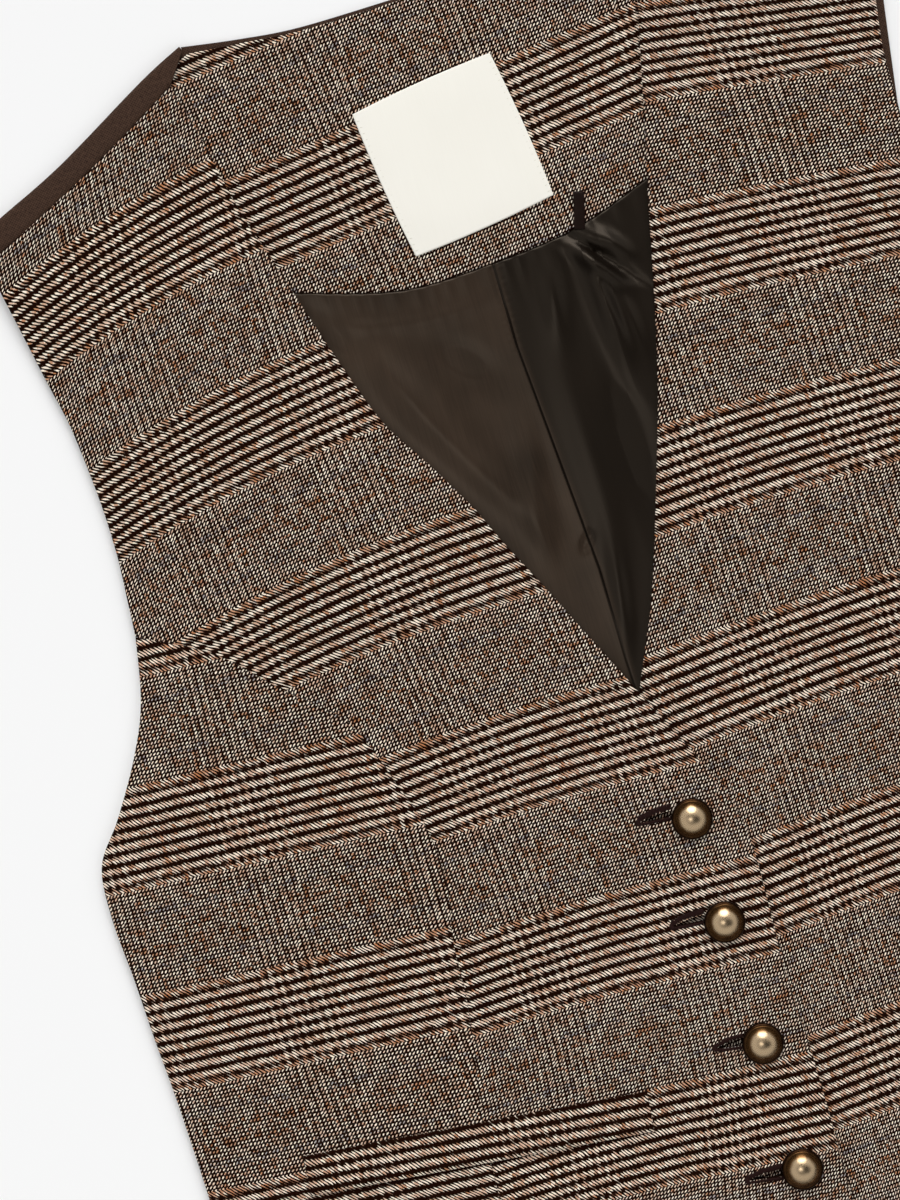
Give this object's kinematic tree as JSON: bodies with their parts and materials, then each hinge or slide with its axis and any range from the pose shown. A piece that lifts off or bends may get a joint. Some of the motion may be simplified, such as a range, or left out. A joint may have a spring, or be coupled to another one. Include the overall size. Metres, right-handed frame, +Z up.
{
  "type": "suit waistcoat",
  "caption": "Sleeveless suit waistcoat laid flat and buttoned, checked wool fronts over a plain back, V neck and welt pockets.",
  "frame": {"origin": "centre of the bounding box at the level of the surface the waistcoat lies on", "axes": "+Y up the garment from hem to neck, +X to the wearer's left, +Z up from the surface"},
  "size_m": [0.4498, 0.574, 0.0139],
  "materials": {
    "checked_wool": "dark brown and beige checked wool twill",
    "back_cloth": "dark brown matt plain weave",
    "lining_satin": "olive-brown lining satin",
    "label_satin": "off-white label satin",
    "loop_tape": "brown satin tape",
    "button_brass": "antique brass, domed"
  },
  "bodies": {
    "root": {"front_right_centre": "checked_wool", "front_right_side": "checked_wool", "front_left_centre": "checked_wool", "front_left_side": "checked_wool", "welt_right": "checked_wool", "welt_left": "checked_wool", "neck_facing": "checked_wool", "back": "back_cloth", "back_lining": "lining_satin", "label": "label_satin", "hanger_loop": "loop_tape", "button_1": "button_brass", "button_2": "button_brass", "button_3": "button_brass", "button_4": "button_brass", "button_5": "button_brass"}
  },
  "joints": []
}
